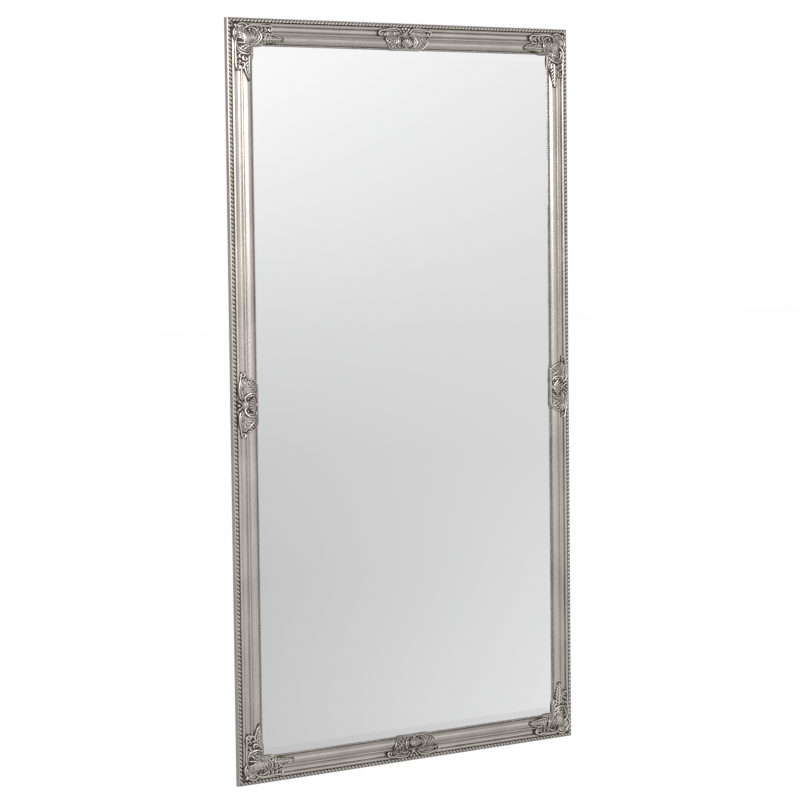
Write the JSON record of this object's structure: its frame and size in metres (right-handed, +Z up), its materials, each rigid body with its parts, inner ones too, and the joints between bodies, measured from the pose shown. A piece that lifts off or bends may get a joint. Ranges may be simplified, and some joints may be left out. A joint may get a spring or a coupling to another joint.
{
  "type": "baroque wall mirror",
  "caption": "Tall rectangular wall mirror: bevelled plate in an antique-silver baroque frame with rope and pearl borders, cast scroll corners and middle cartouches.",
  "frame": {"origin": "middle of the mirror on the plane of the wall, where the bumpers touch it", "axes": "+Z up along the long side, +Y into the wall, +X to the right seen from the front; the glass faces -Y"},
  "size_m": [1, 0.0368, 1.8],
  "materials": {
    "silvered_wood": "antique silver leaf over bole, worn satin",
    "silvered_rope": "antique silver leaf, dark in the grooves",
    "silvered_beads": "pressed composition, antique silver leaf",
    "silvered_casting": "cast composition, antique silver leaf with a dark patina",
    "mirror_glass": "silvered float glass, polished bevel",
    "cushion_foam": "thin felted foam sheet",
    "backing_board": "brown hardboard, smooth face out",
    "glazing_steel": "bright punched steel",
    "zinc_plate": "zinc plated strap",
    "zinc_wire": "zinc plated wire",
    "zinc_screw": "zinc plated screw",
    "bumper_rubber": "soft black rubber"
  },
  "bodies": {
    "mirror": {"top_rail": "silvered_wood", "right_stile": "silvered_wood", "bottom_rail": "silvered_wood", "left_stile": "silvered_wood", "rope_top": "silvered_rope", "rope_right": "silvered_rope", "rope_bottom": "silvered_rope", "rope_left": "silvered_rope", "beads_top": "silvered_beads", "beads_right": "silvered_beads", "beads_bottom": "silvered_beads", "beads_left": "silvered_beads", "corner_ornament_top_left": "silvered_casting", "corner_ornament_top_right": "silvered_casting", "corner_ornament_bottom_right": "silvered_casting", "corner_ornament_bottom_left": "silvered_casting", "middle_ornament_top": "silvered_casting", "middle_ornament_right": "silvered_casting", "middle_ornament_bottom": "silvered_casting", "middle_ornament_left": "silvered_casting", "mirror_glass": "mirror_glass", "cushion_sheet": "cushion_foam", "backing_board": "backing_board", "glazing_points": "glazing_steel", "corner_v_nails": "glazing_steel", "hanger_plate_top": "zinc_plate", "hanger_plate_right": "zinc_plate", "hanger_plate_bottom": "zinc_plate", "hanger_plate_left": "zinc_plate", "hanger_screws": "zinc_screw", "wall_bumper_top_left": "bumper_rubber", "wall_bumper_top_right": "bumper_rubber", "wall_bumper_bottom_right": "bumper_rubber", "wall_bumper_bottom_left": "bumper_rubber"},
    "ring_top": {"d_ring_top": "zinc_wire"},
    "ring_right": {"d_ring_right": "zinc_wire"},
    "ring_bottom": {"d_ring_bottom": "zinc_wire"},
    "ring_left": {"d_ring_left": "zinc_wire"}
  },
  "joints": [
    {"name": "d_ring_top_swing", "type": "hinge", "parent": "mirror", "child": "ring_top", "pos_m": [0.3, -0.00325, 0.862], "axis": [0, 0, -1], "range_deg": [0, 178]},
    {"name": "d_ring_right_swing", "type": "hinge", "parent": "mirror", "child": "ring_right", "pos_m": [0.462, -0.00325, 0.6], "axis": [1, 0, 0], "range_deg": [0, 178]},
    {"name": "d_ring_bottom_swing", "type": "hinge", "parent": "mirror", "child": "ring_bottom", "pos_m": [0.3, -0.00325, -0.862], "axis": [0, 0, -1], "range_deg": [0, 178]},
    {"name": "d_ring_left_swing", "type": "hinge", "parent": "mirror", "child": "ring_left", "pos_m": [-0.462, -0.00325, 0.6], "axis": [1, 0, 0], "range_deg": [0, 178]}
  ]
}
